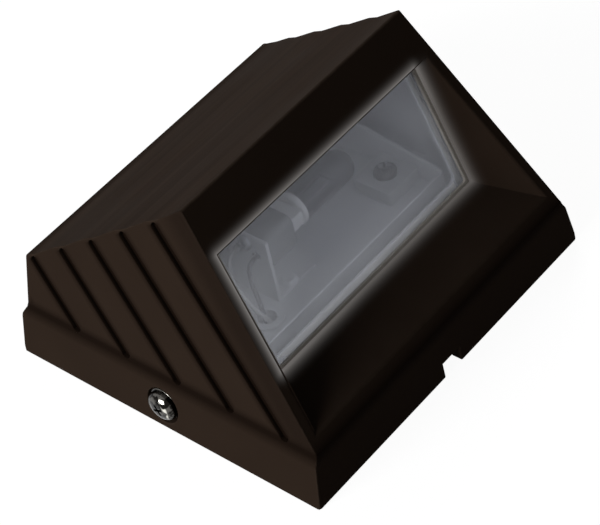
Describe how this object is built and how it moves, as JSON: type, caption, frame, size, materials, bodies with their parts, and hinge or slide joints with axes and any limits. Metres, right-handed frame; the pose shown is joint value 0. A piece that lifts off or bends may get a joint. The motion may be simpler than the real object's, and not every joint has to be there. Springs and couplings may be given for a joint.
{
  "type": "surface mounted step light",
  "caption": "Wedge-shaped surface step light: ribbed cast hood over a backplate, frosted lens in a flared recess, wedge lamp inside, clamped by a screw at each end.",
  "frame": {"origin": "centre of the mounting face, at the bottom of the skirt, as the light lies on its back in the picture", "axes": "+Z points out of the wall (up when it lies on its back), X runs along the skirt with a side screw at each end, -Y is the window side, which faces down on a wall, and +Y the upper side on a wall"},
  "size_m": [0.1034, 0.0976, 0.0681],
  "materials": {
    "bronze_powder_coat": "dark bronze powder coat on cast aluminium, fine satin texture",
    "silicone": "pale translucent silicone",
    "frosted_glass": "sandblasted tempered glass",
    "zinc_steel": "bright zinc plate",
    "black_rubber": "matt neoprene",
    "white_enamel": "white baked enamel on sheet steel",
    "white_plastic": "matt moulded plastic",
    "dark_screw": "dark oxidised steel",
    "contact_brass": "spring brass",
    "clear_glass": "clear lamp glass",
    "filament_wire": "drawn nickel and tungsten wire",
    "black_wire": "smooth wire insulation",
    "white_wire": "smooth wire insulation",
    "orange_plastic": "moulded connector plastic",
    "stainless": "bright stainless steel"
  },
  "bodies": {
    "base": {"wall_gasket": "black_rubber", "backplate": "zinc_steel", "plate_forks": "zinc_steel", "cable_grommet": "black_rubber", "tray_posts": "zinc_steel", "reflector_tray": "white_enamel", "tray_blocks": "white_plastic", "tray_screws": "dark_screw", "lead_bushing": "silicone", "holder_bracket": "white_enamel", "bracket_rivets": "white_enamel", "lamp_holder": "white_plastic", "holder_screw": "zinc_steel", "holder_contacts": "contact_brass", "black_lead": "black_wire", "white_lead": "white_wire", "wire_connectors": "orange_plastic"},
    "cover": {"cover": "bronze_powder_coat", "lens_gasket": "silicone", "lens": "frosted_glass", "lens_frame": "white_enamel", "lens_screws": "zinc_steel", "clip_nuts": "zinc_steel"},
    "lamp": {"lamp_base": "white_plastic", "lamp_bulb": "clear_glass", "lamp_filament": "filament_wire"},
    "left_washer": {"left_washer": "stainless"},
    "left_screw": {"left_screw": "stainless"},
    "right_washer": {"right_washer": "stainless"},
    "right_screw": {"right_screw": "stainless"}
  },
  "joints": [
    {"name": "cover_lift", "type": "slide", "parent": "base", "child": "cover", "axis": [0, 0, 1], "range_m": [0, 0.05]},
    {"name": "lamp_pull", "type": "slide", "parent": "base", "child": "lamp", "axis": [1, 0, 0], "range_m": [0, 0.008]},
    {"name": "left_screw_out", "type": "slide", "parent": "cover", "child": "left_washer", "axis": [-1, 0, 0], "range_m": [0, 0.0028]},
    {"name": "left_screw_turn", "type": "hinge", "parent": "left_washer", "child": "left_screw", "pos_m": [-0.05, 0, 0.0065], "axis": [-1, 0, 0], "range_deg": [0, 1440]},
    {"name": "right_screw_out", "type": "slide", "parent": "cover", "child": "right_washer", "axis": [1, 0, 0], "range_m": [0, 0.0028]},
    {"name": "right_screw_turn", "type": "hinge", "parent": "right_washer", "child": "right_screw", "pos_m": [0.05, 0, 0.0065], "axis": [1, 0, 0], "range_deg": [0, 1440]}
  ],
  "couplings": [
    {"joint": "left_screw_turn", "follows": "left_screw_out", "rad_per_m": 8975.9},
    {"joint": "right_screw_turn", "follows": "right_screw_out", "rad_per_m": 8975.9}
  ]
}
